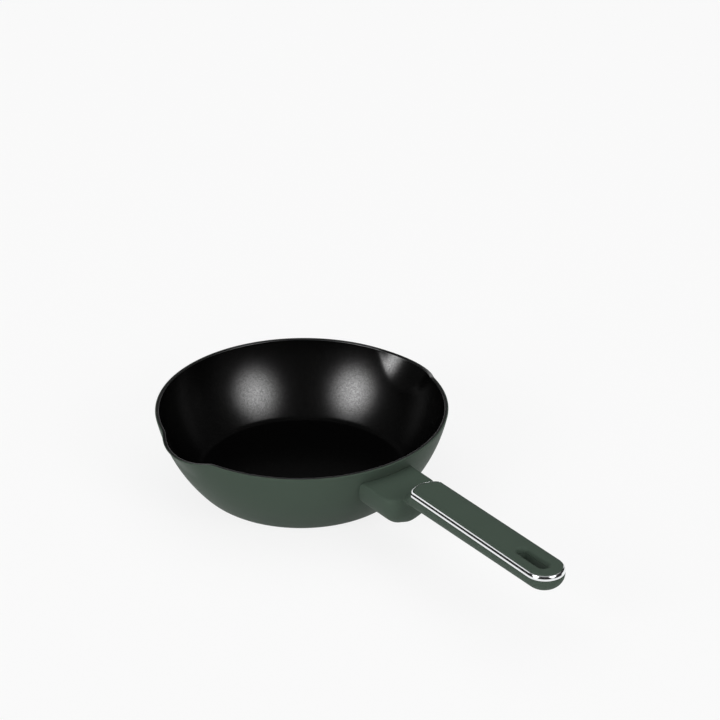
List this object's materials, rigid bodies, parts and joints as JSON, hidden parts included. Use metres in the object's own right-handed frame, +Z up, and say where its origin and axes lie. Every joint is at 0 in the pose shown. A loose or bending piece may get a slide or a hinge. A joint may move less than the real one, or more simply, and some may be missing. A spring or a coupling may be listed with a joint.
{
  "type": "deep frying pan",
  "caption": "Deep cast frying pan with pouring lips, black nonstick inside, green lacquer outside and a fixed soft-touch handle with a chrome band and hanging slot.",
  "frame": {"origin": "centre of the standing face, on the underside of the induction plate", "axes": "+X along the handle, +Y across it towards one pouring lip, +Z up out of the bowl"},
  "size_m": [0.4487, 0.2527, 0.069],
  "materials": {
    "lacquered_cast_aluminium": "satin",
    "induction_steel": "satin",
    "bracket_steel": "satin",
    "soft_touch_moulding": "matte",
    "chrome_plate": "polished",
    "screw_steel": "satin"
  },
  "bodies": {
    "root": {"pan_body": "lacquered_cast_aluminium", "induction_plate": "induction_steel", "wall_bracket": "bracket_steel", "handle_body": "soft_touch_moulding", "trim_band": "chrome_plate", "grip_cover": "soft_touch_moulding", "fixing_screw": "screw_steel", "lock_washer": "screw_steel", "cover_screw_front": "screw_steel", "cover_screw_rear": "screw_steel"}
  },
  "joints": []
}
